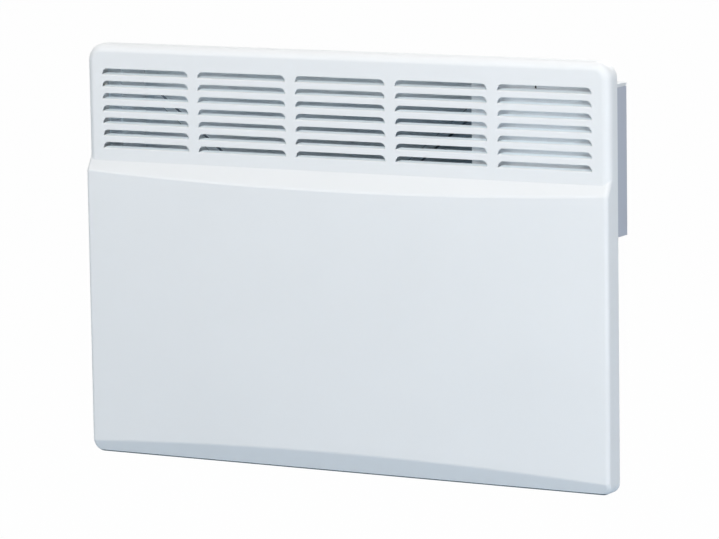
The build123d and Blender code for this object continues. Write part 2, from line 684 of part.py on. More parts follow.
for switch_name, x in switch_places:
    with BuildPart() as switch_body:
        block((x - switch_cut_x / 2, control_y - switch_cut_y / 2, fascia_top - switch_depth),
              (x + switch_cut_x / 2, control_y + switch_cut_y / 2, fascia_top))
        block((x - switch_cut_x / 2 - 1.2, control_y - switch_cut_y / 2 - 1.2, fascia_top),
              (x + switch_cut_x / 2 + 1.2, control_y + switch_cut_y / 2 + 1.2, fascia_top + 1.8))
        fillet(switch_body.faces().sort_by(Axis.Z)[-1].edges(), 0.6)
        block((x - well_half_width, control_y - well_half_length, fascia_top - 8),
              (x + well_half_width, control_y + well_half_length, fascia_top + 2), mode=Mode.SUBTRACT)
        rod((x - well_half_width - 1.3, control_y, pivot_z), (1, 0, 0), pivot_radius + running_fit,
            2 * well_half_width + 2.6, mode=Mode.SUBTRACT)
        for dy in (-6, 0, 6):
            block((x - 2.4, control_y + dy - 0.4, fascia_top - switch_depth - switch_tab),
                  (x + 2.4, control_y + dy + 0.4, fascia_top - switch_depth))
    save(switch_body, f"{switch_name}_body")

    with BuildPart() as rocker:
        with BuildSketch(Plane(origin=(x - rocker_half_width, control_y, pivot_z),
                               x_dir=(0, cos(rocker_tilt), sin(rocker_tilt)), z_dir=(1, 0, 0))):
            with BuildLine():
                Polyline((-rocker_half_length, 3.4), (-rocker_half_length + 0.8, -2.6), (-2.5, -5.5),
                         (2.5, -5.5), (rocker_half_length - 0.8, -2.6), (rocker_half_length, 3.4))
                ThreePointArc((rocker_half_length, 3.4), (0, 1.9), (-rocker_half_length, 3.4))
            make_face()
        extrude(amount=2 * rocker_half_width)
        rod((x - well_half_width - 1.2, control_y, pivot_z), (1, 0, 0), pivot_radius,
            2 * well_half_width + 2.4)
    save(rocker, f"{switch_name}_rocker")

with BuildPart() as indicator_lamp:
    rod((lamp_x, control_y, plate_low - 14), (0, 0, 1), lamp_radius, 14 + fascia_thickness)
    rod((lamp_x, control_y, fascia_top), (0, 0, 1), lamp_radius + 1, 0.8)
    rod((lamp_x, control_y, fascia_top + 0.8), (0, 0, 1), lamp_radius, 0.8)
    fillet(indicator_lamp.faces().sort_by(Axis.Z)[-1].edges(), 0.6)
save(indicator_lamp, "indicator_lamp")


# ---------------------------------------------------------------- mains inlet and terminal block
gland_bore = 3.6
gland_low = shell_bottom - 10.0

with BuildPart() as cable_gland:
    rod((gland_x, gland_y, gland_low + 4), (0, 0, 1), gland_thread_radius, 20)
    with BuildSketch(Plane.XY.offset(shell_bottom - 3)):
        with Locations((gland_x, gland_y)):
            RegularPolygon(8, 6, major_radius=False)
    extrude(amount=3)
    with BuildSketch(Plane.XY.offset(gland_low)):
        with Locations((gland_x, gland_y)):
            RegularPolygon(7.5, 6, major_radius=False)
    extrude(amount=7)
    chamfer(cable_gland.faces().sort_by(Axis.Z)[0].outer_wire().edges(), 0.8)
    rod((gland_x, gland_y, gland_low), (0, 0, 1), gland_bore, 24, mode=Mode.SUBTRACT)
save(cable_gland, "cable_gland")

with BuildPart() as gland_nut:
    with BuildSketch(Plane.XY.offset(shell_bottom + sheet)):
        with Locations((gland_x, gland_y)):
            RegularPolygon(8.5, 6, major_radius=False)
            Circle(gland_thread_radius, mode=Mode.SUBTRACT)
    extrude(amount=4)
save(gland_nut, "gland_nut")

block_low = -206.0
block_high = -186.0
block_base = 4.0
pole_x = (190.0, 205.0, 220.0)
pole_y = panel_y - 9.0
pole_radius = 2.2

with BuildPart() as terminal_block:
    block((172, panel_y - block_base, block_low), (238, panel_y, block_high))
    block((183, panel_y - 18, block_low), (227, panel_y - block_base, block_high))
    for x in pole_x:
        rod((x, pole_y, block_low), (0, 0, 1), pole_radius, block_high - block_low, mode=Mode.SUBTRACT)
        for z in (block_low + 5, block_high - 5):
            rod((x, panel_y - 18, z), (0, 1, 0), 2.0, 9, mode=Mode.SUBTRACT)
    for x, z in block_screws:
        rod((x, panel_y - block_base, z), (0, 1, 0), screw_radius, block_base, mode=Mode.SUBTRACT)
save(terminal_block, "terminal_block")

with BuildPart() as terminal_screws:
    for x in pole_x:
        for z in (block_low + 5, block_high - 5):
            rod((x, panel_y - 17, z), (0, 1, 0), 2.0, 17 - 9 - pole_radius)
            block((x - 2, panel_y - 17, z - 0.3), (x + 2, panel_y - 16.2, z + 0.3), mode=Mode.SUBTRACT)
save(terminal_screws, "terminal_screws")

earth_x, earth_z = 256.0, -150.0
lug_y = panel_y - 1.8
lug_length = 12.0

with BuildPart() as earth_screw:
    rod((earth_x, panel_y, earth_z), (0, -1, 0), 2.0, 12)
    rod((earth_x, panel_y, earth_z), (0, -1, 0), 5.0, 1.0)
    block((earth_x - lug_length, lug_y - 0.8, earth_z - 1.3), (earth_x + 3, lug_y + 0.8, earth_z + 1.3))
    with BuildSketch(Plane.XZ.offset(-panel_y + 4)):
        with Locations((earth_x, earth_z)):
            RegularPolygon(3.5, 6, major_radius=False)
    extrude(amount=3)
save(earth_screw, "earth_screw")


# ---------------------------------------------------------------- internal leads
lead_radius = 1.3
lead_bend = 6.0


def lead(points, radius=lead_radius, bend=lead_bend):
    """A round lead along straight runs joined by arcs."""
    with BuildPart() as wire:
        with BuildLine() as route:
            FilletPolyline(*points, radius=bend)
        with BuildSketch(Plane(origin=route.line @ 0, z_dir=route.line % 0)):
            Circle(radius)
        sweep()
    return wire


switch_tab_z = fascia_top - switch_depth - switch_tab
(_, power_x), (_, heat_x) = switch_places
left_pole, middle_pole, right_pole = pole_x
cutout_tab_x = partition_x + cutout_height + cutout_tab
thermostat_tab_z = thermostat_low - thermostat_tab
tab_step = 6.0
lead_y = grommet_y - 1
live_x, switched_x = grommet_x + 2.6, grommet_x - 2.6

save(lead([(left_pole, pole_y, block_high - 4), (left_pole, pole_y, -150), (live_x, lead_y, -100),
           (live_x, lead_y, 60), (power_x, control_y - tab_step, 80),
           (power_x, control_y - tab_step, switch_tab_z)]), "lead_live")
save(lead([(power_x, control_y, switch_tab_z), (power_x, control_y, 112),
           (knob_x - thermostat_tab_x, control_y, 104),
           (knob_x - thermostat_tab_x, control_y, thermostat_tab_z)]), "lead_thermostat")
save(lead([(knob_x + thermostat_tab_x, control_y, thermostat_tab_z),
           (knob_x + thermostat_tab_x, control_y, 100), (heat_x, control_y - tab_step, 92),
           (heat_x, control_y - tab_step, switch_tab_z)]), "lead_heat")
save(lead([(heat_x, control_y + tab_step, switch_tab_z), (heat_x, control_y + tab_step, 70),
           (switched_x, lead_y, 30), (switched_x, lead_y, -70), (cutout_tab_x + 11, cutout_y, cutout_z + 4),
           (cutout_tab_x, cutout_y, cutout_z + 4)]), "lead_switched")
save(lead([(cutout_tab_x, cutout_y, cutout_z - 4), (cutout_tab_x + 10, cutout_y, cutout_z - 4),
           (cutout_tab_x + 10, element_y, element_z),
           (tube_right + stud_reach, element_y, element_z)]), "lead_element_right")
save(lead([(middle_pole, pole_y, block_low + 4), (middle_pole, pole_y, -226),
           (partition_x + 20, lead_hole_y, lead_hole_z), (tube_left - 16, lead_hole_y, lead_hole_z),
           (tube_left - 16, element_y, element_z), (tube_left - stud_reach, element_y, element_z)]),
     "lead_element_left")
save(lead([(right_pole, pole_y, block_high - 4), (right_pole, pole_y, -168),
           (earth_x - 24, lug_y, earth_z), (earth_x - lug_length, lug_y, earth_z)]), "lead_earth")

with BuildPart() as lead_clips:
    for x in (-180, -60, 60):
        rod((x - 4, lead_hole_y, lead_hole_z), (1, 0, 0), 2.6, 8)
        block((x - 4, lead_hole_y, lead_hole_z - 2.6), (x + 4, panel_y, lead_hole_z))
        block((x - 4, panel_y - 1.2, lead_hole_z - 6), (x + 4, panel_y, lead_hole_z))
        rod((x - 4, lead_hole_y, lead_hole_z), (1, 0, 0), lead_radius, 8, mode=Mode.SUBTRACT)
save(lead_clips, "lead_clips")

capillary_radius = 1.0
bulb_x, bulb_y, bulb_top = 262.0, -46.0, -212.0
bulb_radius = 3.0
bulb_length = 32.0
save(lead([(knob_x, control_y + 9, thermostat_low), (knob_x, control_y + 9, 60),
           (grommet_x, grommet_y + 2.8, 10), (grommet_x, grommet_y + 2.8, -110),
           (bulb_x, bulb_y, -150), (bulb_x, bulb_y, bulb_top)], radius=capillary_radius),
     "sensor_capillary")

with BuildPart() as sensor_bulb:
    rod((bulb_x, bulb_y, bulb_top), (0, 0, -1), bulb_radius, bulb_length)
    fillet(sensor_bulb.edges().filter_by(GeomType.CIRCLE), 1)
save(sensor_bulb, "sensor_bulb")

shell_wall_x = shell_right - sheet
with BuildPart() as sensor_clip:
    clip_z = bulb_top - bulb_length / 2 - 5
    rod((bulb_x, bulb_y, clip_z), (0, 0, 1), bulb_radius + 1.2, 10)
    block((bulb_x, bulb_y - 2, clip_z), (shell_wall_x, bulb_y + 2, clip_z + 10))
    block((shell_wall_x - 1.5, bulb_y - 6, clip_z), (shell_wall_x, bulb_y + 6, clip_z + 10))
    rod((bulb_x, bulb_y, clip_z), (0, 0, 1), bulb_radius, 10, mode=Mode.SUBTRACT)
save(sensor_clip, "sensor_clip")


# ---------------------------------------------------------------- screws
head_radius = 3.0
head_height = 2.0


def screw(start, direction, grip, radius=screw_radius):
    """A pan-head screw, its head seated at start and its shank running along direction."""
    rod(start, direction, radius, grip)
    rod(start, tuple(-d for d in direction), head_radius, head_height)


with BuildPart() as cover_screw_set:
    for x, z in cover_screws:
        screw((x, flange_y, z), (0, -1, 0), 6.0, radius=cover_screw_radius)
save(cover_screw_set, "cover_screws")

with BuildPart() as panel_screw_set:
    for x, z in foot_screws:
        screw((x, panel_y - sheet, z), (0, 1, 0), 3.5)
    for x, z in block_screws:
        screw((x, panel_y - block_base, z), (0, 1, 0), block_base + 2.5)
save(panel_screw_set, "panel_screws")

with BuildPart() as shield_screw_set:
    for x, z in hanger_screws:
        screw((x, front_shield_y - sheet, z), (0, 1, 0), 4.0)
save(shield_screw_set, "shield_screws")

with BuildPart() as box_screw_set:
    for x, y in box_floor_screws:
        screw((x, y, box_bottom + sheet), (0, 0, -1), 4.0)
    for y, z in box_side_screws:
        screw((box_left + sheet, y, z), (-1, 0, 0), 4.0)
save(box_screw_set, "box_screws")


# ---------------------------------------------------------------- rating plate and wall spacers
with BuildPart() as rating_plate:
    with BuildSketch(Plane.XZ.offset(-back_y)):
        with Locations((192, -88)):
            RectangleRounded(72, 40, 2)
    extrude(amount=-0.4)
save(rating_plate, "rating_plate")

for side, (x, z) in zip(("left", "right"), spacer_places):
    with BuildPart() as wall_spacer:
        with Locations(Plane(origin=(x, back_y, z), z_dir=(0, 1, 0))):
            Cone(12, 9.5, wall_gap, align=(Align.CENTER, Align.CENTER, Align.MIN))
        fillet(wall_spacer.faces().sort_by(Axis.Y)[-1].edges(), 1.5)
        rod((x, back_y, z), (0, -1, 0), spacer_stem_radius, sheet)
        rod((x, panel_y, z), (0, -1, 0), 5.0, 3.0)
    save(wall_spacer, f"wall_spacer_{side}")


# ---------------------------------------------------------------- wall bracket and its catches
rail_half = rail_height / 2
hook_y = panel_y - 3.5
hook_rise = 9.0
rail_flange = 12.0
catch_z = 5.0
catch_pin_radius = 3.0
catch_back, catch_front = -14.6, -17.0
catch_gap = 0.1
catch_tip_z = tab_z + sheet
catch_half_width = 5.0

with BuildPart() as wall_bracket:
    with BuildSketch(Plane.XZ):
        Rectangle(rail_width, rail_height)
        with GridLocations(fixing_spacing_x, fixing_spacing_z, 2, 2):
            Circle(fixing_hole_radius, mode=Mode.SUBTRACT)
        with Locations((-catch_x, catch_z), (catch_x, catch_z)):
            Circle(catch_pin_radius, mode=Mode.SUBTRACT)
    extrude(amount=bracket_sheet)
    for low in (-rail_half, hook_top - bracket_sheet):
        block((-rail_width / 2, -rail_flange, low), (rail_width / 2, -bracket_sheet, low + bracket_sheet))
    for x in (-hook_x, hook_x):
        block((x - hook_width / 2, hook_y, hook_top - bracket_sheet),
              (x + hook_width / 2, -rail_flange, hook_top))
        block((x - hook_width / 2, hook_y, hook_top), (x + hook_width / 2, hook_y + bracket_sheet,
                                                       hook_top + hook_rise))
save(wall_bracket, "wall_bracket")

for side, x in (("left", -catch_x), ("right", catch_x)):
    with BuildPart() as catch_pin:
        rod((x, 0, catch_z), (0, -1, 0), catch_pin_radius, -catch_front + catch_gap)
        rod((x, -bracket_sheet, catch_z), (0, -1, 0), 5.0, -catch_back - catch_gap - bracket_sheet)
        rod((x, catch_front - catch_gap, catch_z), (0, -1, 0), 4.5, 1.3)
    save(catch_pin, f"catch_pin_{side}")

    with BuildPart() as catch:
        rod((x, catch_back, catch_z), (0, -1, 0), 8.0, catch_back - catch_front)
        block((x - catch_half_width, catch_front, catch_tip_z),
              (x + catch_half_width, catch_back, catch_z))
        block((x - catch_half_width, catch_back, catch_tip_z),
              (x + catch_half_width, catch_back + 4, catch_tip_z + 2.5))
        rod((x, catch_back + 1, catch_z), (0, -1, 0), catch_pin_radius + running_fit, 5,
            mode=Mode.SUBTRACT)
    save(catch, f"bracket_catch_{side}")
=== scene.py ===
import bpy
import bmesh
import json
from math import radians, sin, cos, pi
from mathutils import Vector, Matrix


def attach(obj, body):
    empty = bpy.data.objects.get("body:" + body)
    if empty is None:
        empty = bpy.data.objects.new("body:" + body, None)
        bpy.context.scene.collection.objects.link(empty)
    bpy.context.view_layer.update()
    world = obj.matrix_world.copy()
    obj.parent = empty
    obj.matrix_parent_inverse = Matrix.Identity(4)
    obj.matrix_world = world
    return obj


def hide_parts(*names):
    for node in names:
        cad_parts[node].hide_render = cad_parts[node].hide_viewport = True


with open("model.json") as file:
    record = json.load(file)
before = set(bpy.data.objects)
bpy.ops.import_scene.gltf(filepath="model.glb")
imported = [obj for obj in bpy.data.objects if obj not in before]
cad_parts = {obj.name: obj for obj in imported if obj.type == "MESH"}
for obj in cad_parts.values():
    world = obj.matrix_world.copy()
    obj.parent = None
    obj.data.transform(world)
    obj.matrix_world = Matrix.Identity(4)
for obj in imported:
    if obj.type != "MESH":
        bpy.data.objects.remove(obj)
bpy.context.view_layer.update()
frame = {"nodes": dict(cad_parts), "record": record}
nodes = frame["nodes"]
scene = bpy.context.scene
print("frame loaded:", len(nodes), "nodes")

# the photographer stands to the right of the heater and a little above it
# angles in degrees, places in metres, the focal length and the width in the photograph's pixels
view = {"azimuth": 29.0, "elevation": 8.27, "roll": -0.89, "focal": 4369.0, "distance": 4.520,
        "target": (0.0206, -0.086, -0.0495), "imageWidth": 719, "filmWidth": 36, "farLimit": 100}


def directionFrom(azimuth, elevation):
    az, el = radians(azimuth), radians(elevation)
    return Vector((sin(az) * cos(el), -cos(az) * cos(el), sin(el)))


def addObject(name, data):
    thing = bpy.data.objects.new(name, data)
    scene.collection.objects.link(thing)
    return thing


def makeCamera():
    roll = radians(view["roll"])
    right = Vector((cos(radians(view["azimuth"])), sin(radians(view["azimuth"])), 0))
    back = directionFrom(view["azimuth"], view["elevation"])
    up = back.cross(right)
    tiltedRight = cos(roll) * right + sin(roll) * up
    tiltedUp = -sin(roll) * right + cos(roll) * up
    data = bpy.data.cameras.new("camera")
    data.sensor_width = view["filmWidth"]
    data.lens = view["focal"] * data.sensor_width / view["imageWidth"]
    data.clip_end = view["farLimit"]
    camera = addObject("camera", data)
    place = Matrix((tiltedRight, tiltedUp, back)).transposed().to_4x4()
    place.translation = Vector(view["target"]) + back * view["distance"]
    camera.matrix_world = place
    scene.camera = camera


makeCamera()
print("camera placed")


# links a socket to another node's output, or gives it a plain value
def feed(tree, socket, value):
    if isinstance(value, bpy.types.NodeSocket):
        tree.links.new(value, socket)
    else:
        socket.default_value = value


def feedInOrder(tree, node, values):
    for socket, value in zip(node.inputs, values):
        feed(tree, socket, value)


# settings and sockets are both given by name, with _ for a space
def addNode(tree, kind, **values):
    node = tree.nodes.new("ShaderNode" + kind)
    for key, value in values.items():
        if hasattr(node, key):
            setattr(node, key, value)
        else:
            feed(tree, node.inputs[key.replace("_", " ")], value)
    return node


def calculate(tree, operation, *values, kind="Math"):
    node = addNode(tree, kind, operation=operation)
    feedInOrder(tree, node, values)
    return node.outputs[0]


def mapRange(tree, value, low, high, newLow=0.0, newHigh=1.0):
    node = addNode(tree, "MapRange", Value=value, From_Min=low, From_Max=high, To_Min=newLow, To_Max=newHigh)
    return node.outputs["Result"]


def mixColours(tree, share, first, second):
    return addNode(tree, "Mix", data_type="RGBA", Factor=share, A=first, B=second).outputs["Result"]


def scaleColour(tree, colour, factor):
    return addNode(tree, "VectorMath", operation="SCALE", Vector=colour, Scale=factor).outputs[0]


def mixShaders(tree, share, first, second):
    node = addNode(tree, "MixShader")
    feedInOrder(tree, node, (share, first, second))
    return node.outputs[0]


def coordsOf(tree, kind):
    return addNode(tree, "TexCoord").outputs[kind]


# the X, Y and Z of a place or of a normal
def splitCoords(tree, kind):
    return addNode(tree, "SeparateXYZ", Vector=coordsOf(tree, kind)).outputs


# softboxes, each with its azimuth and elevation in degrees as seen from the heater
lampAim = (0, -0.05, -0.05)
lamps = {
    "right": {"from": (62, 12), "distance": 2.6, "size": (0.9, 1.4), "power": 37.6,
              "colour": (1.0, 1.0, 1.0)},
    "left": {"from": (-35, 20), "distance": 3.2, "size": (1.4, 1.4), "power": 41.0,
             "colour": (1.0, 0.985, 0.96)},
    "front": {"from": (10, 45), "distance": 2.2, "size": (1.2, 1.0), "power": 12.0,
              "colour": (1.0, 0.985, 0.96)},
    "above": {"from": (180, 84), "distance": 1.8, "size": (1.2, 0.5), "power": 9.5,
              "colour": (1.0, 1.0, 1.0)},
    "behind": {"from": (180, 30), "distance": 3.0, "size": (1.8, 1.2), "power": 30.0,
               "colour": (1.0, 1.0, 1.0)},
}


def makeLamps():
    for name, lamp in lamps.items():
        data = bpy.data.lights.new(name, "AREA")
        data.shape = "RECTANGLE"
        data.size, data.size_y = lamp["size"]
        data.energy = lamp["power"]
        data.color = lamp["colour"]
        light = addObject(name, data)
        back = directionFrom(*lamp["from"])
        light.location = Vector(lampAim) + back * lamp["distance"]
        light.rotation_euler = back.to_track_quat("Z", "Y").to_euler()


# a dim room lights the heater, while the camera and reflections see plain white
room = {"low": (0.009, 0.011, 0.013, 1), "high": (0.015, 0.018, 0.021, 1), "lowEnd": -0.6, "highEnd": 0.8,
        "background": (1.0, 1.0, 1.0, 1)}


def makeRoom():
    world = bpy.data.worlds.new("room")
    scene.world = world
    world.use_nodes = True
    tree = world.node_tree
    tree.nodes.clear()
    upwards = splitCoords(tree, "Generated")["Z"]
    height = mapRange(tree, upwards, room["lowEnd"], room["highEnd"])
    ambient = addNode(tree, "Background", Color=mixColours(tree, height, room["low"], room["high"]))
    plain = addNode(tree, "Background", Color=room["background"])
    rays = addNode(tree, "LightPath").outputs
    seen = calculate(tree, "MAXIMUM", rays["Is Camera Ray"], rays["Is Glossy Ray"])
    seenOrThrough = calculate(tree, "MAXIMUM", seen, rays["Is Transmission Ray"])
    blend = mixShaders(tree, seenOrThrough, ambient.outputs[0], plain.outputs[0])
    addNode(tree, "OutputWorld", Surface=blend)


makeLamps()
makeRoom()
scene.view_settings.view_transform = "Standard"
print("lamps and room ready")


# a new material with its node tree and its shader
def newMaterial(name):
    material = bpy.data.materials.new(name)
    material.use_nodes = True
    return material, material.node_tree, material.node_tree.nodes["Principled BSDF"]


# every effect gives out a colour, a roughness and a height
def newEffect(name, inputs):
    group = bpy.data.node_groups.new(name, "ShaderNodeTree")
    for label, kind, value in inputs:
        socket = group.interface.new_socket(name=label, in_out="INPUT", socket_type="NodeSocket" + kind)
        socket.default_value = value
    for label, kind in (("Color", "Color"), ("Roughness", "Float"), ("Height", "Float")):
        group.interface.new_socket(name=label, in_out="OUTPUT", socket_type="NodeSocket" + kind)
    return group, group.nodes.new("NodeGroupInput").outputs


def closeEffect(group, *results):
    feedInOrder(group, group.nodes.new("NodeGroupOutput"), results)
    return group


def useEffect(tree, group, **values):
    return addNode(tree, "Group", node_tree=group, **values)


# the sprayed or moulded skin: slow drift of tone, faint dust, and a fine pebbled height
skinEffect = {"driftScale": 9.0, "driftDetail": 3.0, "driftFrom": 0.3, "driftTo": 0.7,
              "speckScale": 320.0, "speckDetail": 4.0, "speckRoughness": 0.7, "speckFrom": 0.58,
              "speckTo": 0.8, "grainDetail": 2.0, "grainRoughness": 0.55, "roughnessDrift": 0.08}


def makeSkinGroup(look):
    group, given = newEffect(
        "skin", [("Color", "Color", (0.8, 0.8, 0.8, 1)), ("Dust Color", "Color", (0.6, 0.6, 0.6, 1)),
                 ("Drift", "Float", 0.03), ("Dust", "Float", 0.05), ("Roughness", "Float", 0.4),
                 ("Grain Size", "Float", 0.0015)])
    place = coordsOf(group, "Object")
    slow = addNode(group, "TexNoise", Vector=place, Scale=look["driftScale"],
                   Detail=look["driftDetail"]).outputs["Fac"]
    slowTone = mapRange(group, slow, look["driftFrom"], look["driftTo"], -1.0, 1.0)
    drift = calculate(group, "MULTIPLY_ADD", slowTone, given["Drift"], 1.0)
    tinted = scaleColour(group, given["Color"], drift)
    specks = addNode(group, "TexNoise", Vector=place, Scale=look["speckScale"], Detail=look["speckDetail"],
                     Roughness=look["speckRoughness"]).outputs["Fac"]
    speckMask = mapRange(group, specks, look["speckFrom"], look["speckTo"])
    dustAmount = calculate(group, "MULTIPLY", speckMask, given["Dust"])
    dusty = mixColours(group, dustAmount, tinted, given["Dust Color"])
    grainScale = calculate(group, "DIVIDE", 1.0, given["Grain Size"])
    grain = addNode(group, "TexNoise", Vector=place, Scale=grainScale, Detail=look["grainDetail"],
                    Roughness=look["grainRoughness"]).outputs["Fac"]
    rough = calculate(group, "MULTIPLY_ADD", slow, look["roughnessDrift"], given["Roughness"])
    return closeEffect(group, dusty, rough, grain)


# hot-dip zinc: flat crystals of differing brightness
spangleEffect = {"warpScale": 180.0, "warpDetail": 2.0, "warpReach": 0.004, "roughnessSpread": 0.14}


def makeSpangleGroup(look):
    group, given = newEffect(
        "spangle", [("Color", "Color", (0.6, 0.62, 0.64, 1)), ("Contrast", "Float", 0.25),
                    ("Crystal Size", "Float", 0.006), ("Roughness", "Float", 0.42)])
    place = coordsOf(group, "Object")
    warp = addNode(group, "TexNoise", Vector=place, Scale=look["warpScale"], Detail=look["warpDetail"])
    bent = calculate(group, "MULTIPLY_ADD", warp.outputs["Color"], [look["warpReach"]] * 3, place,
                     kind="VectorMath")
    crystalScale = calculate(group, "DIVIDE", 1.0, given["Crystal Size"])
    crystals = addNode(group, "TexVoronoi", Vector=bent, Scale=crystalScale)
    tones = addNode(group, "SeparateColor", Color=crystals.outputs["Color"])
    centred = mapRange(group, tones.outputs["Red"], 0.0, 1.0, -1.0, 1.0)
    brightness = calculate(group, "MULTIPLY_ADD", centred, given["Contrast"], 1.0)
    tinted = scaleColour(group, given["Color"], brightness)
    rough = calculate(group, "MULTIPLY_ADD", tones.outputs["Green"], look["roughnessSpread"],
                      given["Roughness"])
    return closeEffect(group, tinted, rough, crystals.outputs["Distance"])


# drawn or rolled metal: fine lines along one axis, with a few stains
drawnEffect = {"lineDetail": 3.0, "lineDark": 0.9, "lineLight": 1.08, "patchScale": 60.0, "patchDetail": 4.0,
               "patchRoughness": 0.6, "patchFrom": 0.45, "patchTo": 0.7, "stainRoughness": 0.2}


def makeDrawnGroup(look):
    group, given = newEffect(
        "drawn", [("Color", "Color", (0.6, 0.6, 0.6, 1)), ("Stain Color", "Color", (0.3, 0.3, 0.3, 1)),
                  ("Stain", "Float", 0.2), ("Roughness", "Float", 0.35),
                  ("Stretch", "Vector", (40, 900, 900))])
    place = coordsOf(group, "Object")
    stretched = calculate(group, "MULTIPLY", place, given["Stretch"], kind="VectorMath")
    lines = addNode(group, "TexNoise", Vector=stretched, Scale=1.0, Detail=look["lineDetail"]).outputs["Fac"]
    patches = addNode(group, "TexNoise", Vector=place, Scale=look["patchScale"], Detail=look["patchDetail"],
                      Roughness=look["patchRoughness"]).outputs["Fac"]
    patchMask = mapRange(group, patches, look["patchFrom"], look["patchTo"])
    stainAmount = calculate(group, "MULTIPLY", patchMask, given["Stain"])
    stained = mixColours(group, stainAmount, given["Color"], given["Stain Color"])
    lineTone = mapRange(group, lines, 0.0, 1.0, look["lineDark"], look["lineLight"])
    toned = scaleColour(group, stained, lineTone)
    rough = calculate(group, "MULTIPLY_ADD", stainAmount, look["stainRoughness"], given["Roughness"])
    return closeEffect(group, toned, rough, lines)


skinGroup = makeSkinGroup(skinEffect)
spangleGroup = makeSpangleGroup(spangleEffect)
drawnGroup = makeDrawnGroup(drawnEffect)


# feeds an effect's colour, roughness and height into a material's shader
def finishWith(tree, shader, effect, bumpDepth):
    bump = addNode(tree, "Bump", Strength=1.0, Distance=bumpDepth, Height=effect.outputs["Height"])
    feed(tree, shader.inputs["Base Color"], effect.outputs["Color"])
    feed(tree, shader.inputs["Roughness"], effect.outputs["Roughness"])
    feed(tree, shader.inputs["Normal"], bump.outputs["Normal"])


# lays a colour over what a material has so far, where the mask is 1
def paintOver(tree, shader, mask, colour):
    ownColour = shader.inputs["Base Color"].links[0].from_socket
    feed(tree, shader.inputs["Base Color"], mixColours(tree, mask, ownColour, colour))


def makePaint(name, look):
    material, tree, shader = newMaterial(name)
    skin = useEffect(tree, skinGroup, Color=look["colour"], Dust_Color=look["dust"], Drift=look["drift"],
                     Dust=look["dustAmount"], Roughness=look["roughness"], Grain_Size=look["grainSize"])
    finishWith(tree, shader, skin, look["grainDepth"])
    return material


# gives the faces that look forwards a colour of their own
def paintForwardFaces(material, look):
    tree = material.node_tree
    facing = splitCoords(tree, "Normal")["Y"]
    isForward = calculate(tree, "LESS_THAN", facing, look["frontNormal"])
    paintOver(tree, tree.nodes["Principled BSDF"], isForward, look["frontColour"])


# white powder coat of the front, with faint orange peel
# the blades inside the grille are painted a little bluer, as painted shade, and painted shade darkens the
# lowest fold
coverPaint = {"colour": (0.85, 0.868, 0.885, 1), "dust": (0.62, 0.63, 0.64, 1), "roughness": 0.42,
              "drift": 0.008, "dustAmount": 0.04, "grainSize": 0.0016, "grainDepth": 0.00002,
              "bladeShadeTint": (0.86, 0.95, 1.0, 1), "grilleHalfWidth": 0.292, "grilleMiddle": 0.105,
              "grilleHalfHeight": 0.047, "bladeFront": -0.0855, "bladeBack": -0.0845,
              "foldShadeColour": (0.13, 0.16, 0.17, 1), "foldShadeTop": -0.263, "foldShadeTilt": -0.80, "foldShadeSpread": 0.185}


def makeCoverPaint(name, look):
    material = makePaint(name, look)
    tree = material.node_tree
    shader = tree.nodes["Principled BSDF"]
    place = splitCoords(tree, "Object")
    fromMiddle = calculate(tree, "ABSOLUTE", place["X"])
    inWidth = calculate(tree, "LESS_THAN", fromMiddle, look["grilleHalfWidth"])
    inHeight = calculate(tree, "COMPARE", place["Z"], look["grilleMiddle"], look["grilleHalfHeight"])
    inGrille = calculate(tree, "MULTIPLY", inWidth, inHeight)
    # painted shade: the blades behind the face get a bluer tint for the shade that they sit in
    behindFace = mapRange(tree, place["Y"], look["bladeFront"], look["bladeBack"])
    paintOver(tree, shader, calculate(tree, "MULTIPLY", inGrille, behindFace), look["bladeShadeTint"])
    # painted shade: the lowest fold, facing down and forwards, is painted dark
    facingUp = splitCoords(tree, "Normal")["Z"]
    isTilted = calculate(tree, "COMPARE", facingUp, look["foldShadeTilt"], look["foldShadeSpread"])
    isLow = calculate(tree, "LESS_THAN", place["Z"], look["foldShadeTop"])
    paintOver(tree, shader, calculate(tree, "MULTIPLY", isTilted, isLow), look["foldShadeColour"])
    return material


# what every plastic shares, and then each plastic's own colour and roughness
plasticSkin = {"dust": (0.5, 0.5, 0.5, 1), "drift": 0.02, "dustAmount": 0.06, "grainSize": 0.0005,
               "grainDepth": 0.00003}
plastics = {
    "fasciaPlastic": {"colour": (0.78, 0.80, 0.82, 1), "roughness": 0.42},
    "knobPlastic": {"colour": (0.50, 0.515, 0.53, 1), "roughness": 0.38},
    "switchPlastic": {"colour": (0.045, 0.047, 0.05, 1), "roughness": 0.36},
    "rockerPlastic": {"colour": (0.62, 0.64, 0.66, 1), "roughness": 0.32},
    "mouldedInsulation": {"colour": (0.06, 0.045, 0.035, 1), "roughness": 0.5},
    "terminalPlastic": {"colour": (0.78, 0.77, 0.72, 1), "roughness": 0.45},
    "glandPlastic": {"colour": (0.11, 0.115, 0.12, 1), "roughness": 0.45},
    "rubber": {"colour": (0.03, 0.03, 0.032, 1), "roughness": 0.65},
    "siliconeRubber": {"colour": (0.55, 0.14, 0.08, 1), "roughness": 0.55},
    "liveInsulation": {"colour": (0.16, 0.055, 0.02, 1), "roughness": 0.4},
    "neutralInsulation": {"colour": (0.02, 0.09, 0.35, 1), "roughness": 0.4},
    "labelFilm": {"colour": (0.66, 0.67, 0.68, 1), "roughness": 0.3},
    "markingInk": {"colour": (0.10, 0.105, 0.115, 1), "roughness": 0.5},
}


def makePlastic(name, look):
    return makePaint(name, {**plasticSkin, **look})


# galvanised sheet with visible spangle
zincSheet = {"colour": (0.60, 0.64, 0.68, 1), "contrast": 0.12, "crystal": 0.007, "roughness": 0.42,
             "metallic": 0.4, "bumpDepth": 0.00002}


def makeZincSheet(name, look):
    material, tree, shader = newMaterial(name)
    spangle = useEffect(tree, spangleGroup, Color=look["colour"], Contrast=look["contrast"],
                        Crystal_Size=look["crystal"], Roughness=look["roughness"])
    finishWith(tree, shader, spangle, look["bumpDepth"])
    shader.inputs["Metallic"].default_value = look["metallic"]
    return material
